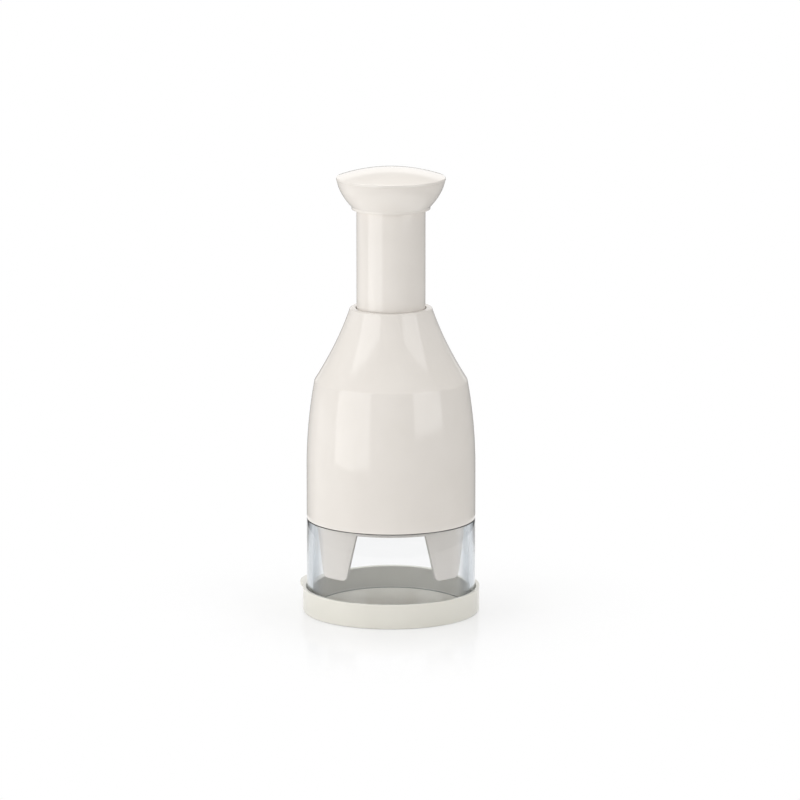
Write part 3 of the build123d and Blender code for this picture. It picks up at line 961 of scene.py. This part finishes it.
def makeReturnSpring():
    size = extent("return_spring")
    climb = size["high"] - size["low"] - 2 * spring["wire"]
    turns = spring["turns"]
    sizes = {
        "Coil Radius": size["radius"] - spring["wire"],
        "Wire Radius": spring["wire"],
        "Low": size["low"] + spring["wire"],
        "End Pitch": spring["endPitch"],
        "Pitch": (climb - 2 * spring["endPitch"]) / (turns - 2),
        "Points": turns * spring["pointsPerTurn"] + 1,
        "Wire Sides": spring["wireSides"],
        "Material": finishes["spring_steel"],
    }
    tree, given, result = sizeTree("returnSpringTree", sizes)
    line = addNode(tree, "GeometryNodeMeshLine")
    tree.links.new(given.outputs["Points"], line.inputs["Count"])

    # each point's height: close end turns, wider turns between them
    index = addNode(tree, "GeometryNodeInputIndex")
    turn = combine(tree, "DIVIDE", index.outputs["Index"], spring["pointsPerTurn"])
    ends = combine(tree, "ADD", clamped(tree, turn, 0, 1), clamped(tree, turn, turns - 1, turns))
    rise = combine(tree, "MULTIPLY", ends, given.outputs["End Pitch"])
    middle = combine(tree, "MULTIPLY", clamped(tree, turn, 1, turns - 1), given.outputs["Pitch"])
    height = combine(tree, "ADD", combine(tree, "ADD", rise, middle), given.outputs["Low"])

    # the points wound into a coil
    angle = combine(tree, "MULTIPLY", turn, 2 * math.pi)
    point = addNode(tree, "ShaderNodeCombineXYZ")
    for axis, operation in (("X", "COSINE"), ("Y", "SINE")):
        side = combine(tree, operation, angle, 0.0)
        reach = combine(tree, "MULTIPLY", side, given.outputs["Coil Radius"])
        tree.links.new(reach, point.inputs[axis])
    tree.links.new(height, point.inputs["Z"])
    place = addNode(tree, "GeometryNodeSetPosition")
    tree.links.new(line.outputs["Mesh"], place.inputs["Geometry"])
    tree.links.new(point.outputs["Vector"], place.inputs["Position"])

    # round wire along the coil
    curve = addNode(tree, "GeometryNodeMeshToCurve")
    tree.links.new(place.outputs["Geometry"], curve.inputs["Mesh"])
    section = addNode(tree, "GeometryNodeCurvePrimitiveCircle")
    tree.links.new(given.outputs["Wire Sides"], section.inputs["Resolution"])
    tree.links.new(given.outputs["Wire Radius"], section.inputs["Radius"])
    wire = addNode(tree, "GeometryNodeCurveToMesh", **{"Fill Caps": True})
    tree.links.new(curve.outputs["Curve"], wire.inputs["Curve"])
    tree.links.new(section.outputs["Curve"], wire.inputs["Profile Curve"])
    closeTree(tree, wire.outputs["Mesh"], given, result)
    seed = bpy.data.objects.new("springSeed", bpy.data.meshes.new("springSeed"))
    bpy.context.scene.collection.objects.link(seed)
    return growPiece("returnSpring", seed, tree, sizes, spring["sharpAngle"])


returnSpring = seat(makeReturnSpring(), "housing", "spring_steel", "return_spring")
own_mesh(returnSpring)
print("return spring wound")


# Floor, light and camera

stageSizes = {
    "tableRadius": 0.23,
    "tableSides": 96,
    "tableDrop": 0.2 * mm,  # below the foot, so that the two faces don't meet
    "tableTone": 0.92,
    "tableRough": 0.08,
    "tableShare": 0.5,
    "hazeScale": 40.0,
    "hazeTone": 1.02,
    "hazeRough": 1.2,
    "fadeStart": 0.05,
    "fadeEnd": 0.16,
    "roomAbove": 0.35,
    "roomBelow": 0.66,
    "roomEdge": (-0.1, 0.1),
    "roomLean": 0.2,
    "roomGloss": 0.28,
    "backdropSide": (0.84, 0.95),
    "backdropFoot": (-0.02, 0.03),
    "backdropTop": (0.36, 0.5),
}


def seenDirectly(tree):
    # 1 for rays from the camera, straight or through the cup, before they meet a matt surface
    path = addNode(tree, "ShaderNodeLightPath")
    straight = combine(tree, "LESS_THAN", path.outputs["Diffuse Depth"], 0.5)
    through = combine(tree, "MULTIPLY", path.outputs["Is Transmission Ray"], straight)
    return combine(tree, "MAXIMUM", path.outputs["Is Camera Ray"], through)


def fade(tree, share, first, second):
    # first where share is 0, second where it is 1
    rest = combine(tree, "SUBTRACT", 1.0, share)
    firstPart = combine(tree, "MULTIPLY", rest, first)
    secondPart = combine(tree, "MULTIPLY", share, second)
    return combine(tree, "ADD", firstPart, secondPart)


def makeTable():
    # white table that fades into the backdrop towards its edge, with the shadow and a faint mirror image
    material, tree, shader, coords = startFinish("whiteTable")
    haze = speckle(tree, coords, stageSizes["hazeScale"])
    tone = stageSizes["tableTone"]
    rough = stageSizes["tableRough"]
    pale = tone * stageSizes["hazeTone"]
    toneBetween(tree, haze, (tone, tone, tone), (pale, pale, pale), shader.inputs["Base Color"])
    rangeTo(tree, haze, (rough, rough * stageSizes["hazeRough"]), shader.inputs["Roughness"])
    reach = addNode(tree, "ShaderNodeVectorMath", {"operation": "LENGTH"})
    tree.links.new(coords, reach.inputs[0])
    white = smoothSpan(
        tree,
        reach.outputs["Value"],
        (stageSizes["fadeStart"], stageSizes["fadeEnd"]),
        (1 - stageSizes["tableShare"], 1.0),
    )
    path = addNode(tree, "ShaderNodeLightPath")
    seen = combine(tree, "MAXIMUM", seenDirectly(tree), path.outputs["Is Glossy Ray"])
    glow = addNode(tree, "ShaderNodeEmission", Color=(1, 1, 1, 1), Strength=1.0)
    share = combine(tree, "MULTIPLY", white, seen)
    blendSurface(tree, share, shader.outputs["BSDF"], glow.outputs["Emission"])
    bm = bmesh.new()
    sides = stageSizes["tableSides"]
    bmesh.ops.create_circle(bm, cap_ends=True, segments=sides, radius=stageSizes["tableRadius"])
    bmesh.ops.translate(bm, verts=bm.verts, vec=(0, 0, -stageSizes["tableDrop"]))
    table = meshObject("table", bm, material)


def makeWorld():
    # a white backdrop for the camera and through the cup
    # in gloss a white strip above the horizon, and a softer room for all other light
    world = bpy.data.worlds.new("studio")
    bpy.context.scene.world = world
    world.use_nodes = True
    tree = world.node_tree
    place = addNode(tree, "ShaderNodeTexCoord")
    split = addNode(tree, "ShaderNodeSeparateXYZ")
    tree.links.new(place.outputs["Generated"], split.inputs["Vector"])
    height = split.outputs["Z"]
    path = addNode(tree, "ShaderNodeLightPath")
    levels = (stageSizes["roomBelow"], stageSizes["roomAbove"])
    room = smoothSpan(tree, height, stageSizes["roomEdge"], levels)
    side = combine(tree, "MULTIPLY", split.outputs["X"], stageSizes["roomLean"])
    lean = combine(tree, "SUBTRACT", 1.0, side)
    foot = smoothSpan(tree, height, stageSizes["backdropFoot"])
    top = smoothSpan(tree, height, stageSizes["backdropTop"])
    behind = smoothSpan(tree, split.outputs["Y"], stageSizes["backdropSide"])
    strip = combine(tree, "MULTIPLY", combine(tree, "SUBTRACT", foot, top), behind)
    gloss = fade(tree, strip, stageSizes["roomGloss"], 1.0)
    level = fade(tree, path.outputs["Is Glossy Ray"], combine(tree, "MULTIPLY", room, lean), gloss)
    studio = tree.nodes["Background"]
    studio.inputs["Color"].default_value = (1, 1, 1, 1)
    tree.links.new(fade(tree, seenDirectly(tree), level, 1.0), studio.inputs["Strength"])


# azimuth and rise are degrees from the front and from the horizon, aim is the height that a box faces
softboxes = {
    "leftBox": {
        "azimuth": -55,
        "rise": 0,
        "distance": 0.75,
        "aim": 0.33,
        "size": (0.74, 0.74),
        "watts": 3.1,
    },
    "rightBox": {
        "azimuth": 54,
        "rise": 0,
        "distance": 0.75,
        "aim": 0.39,
        "size": (0.595, 0.62),
        "watts": 1.98,
    },
    "lowBox": {
        "azimuth": -88,
        "rise": -14,
        "distance": 0.62,
        "aim": 0.04,
        "size": (0.9, 0.4),
        "watts": 0.42,
    },
    "topBox": {
        "azimuth": 180,
        "rise": 78,
        "distance": 0.9,
        "aim": 0.2,
        "size": (1.0, 0.8),
        "watts": 7.6,
    },
}


def makeSoftbox(name, box):
    light = bpy.data.lights.new(name, "AREA")
    light.shape = "RECTANGLE"
    light.size, light.size_y = box["size"]
    light.energy = box["watts"]
    lamp = bpy.data.objects.new(name, light)
    bpy.context.scene.collection.objects.link(lamp)
    around = math.radians(box["azimuth"])
    rise = math.radians(box["rise"])
    level = math.cos(rise)
    out = Vector((math.sin(around) * level, -math.cos(around) * level, math.sin(rise)))
    lamp.location = Vector((0, 0, box["aim"])) + out * box["distance"]
    lamp.rotation_euler = (-out).to_track_quat("-Z", "Y").to_euler()
    lamp.visible_camera = False


view = {
    "place": (0.00457, -2.714, 0.650),
    "target": (0.00457, 0, 0.109),
    "lens": 245.0,
    "sensor": 36.0,
    "clipStart": 0.05,
}


def makeCamera():
    data = bpy.data.cameras.new("photoView")
    data.lens = view["lens"]
    data.sensor_width = view["sensor"]
    data.sensor_fit = "HORIZONTAL"
    data.clip_start = view["clipStart"]
    camera = bpy.data.objects.new("photoView", data)
    bpy.context.scene.collection.objects.link(camera)
    camera.location = view["place"]
    aim = Vector(view["target"]) - Vector(view["place"])
    camera.rotation_euler = aim.to_track_quat("-Z", "Y").to_euler()
    bpy.context.scene.camera = camera


makeTable()
makeWorld()
for boxName, box in softboxes.items():
    makeSoftbox(boxName, box)
makeCamera()
bpy.context.scene.view_settings.view_transform = "Standard"
print("table, light and camera placed")
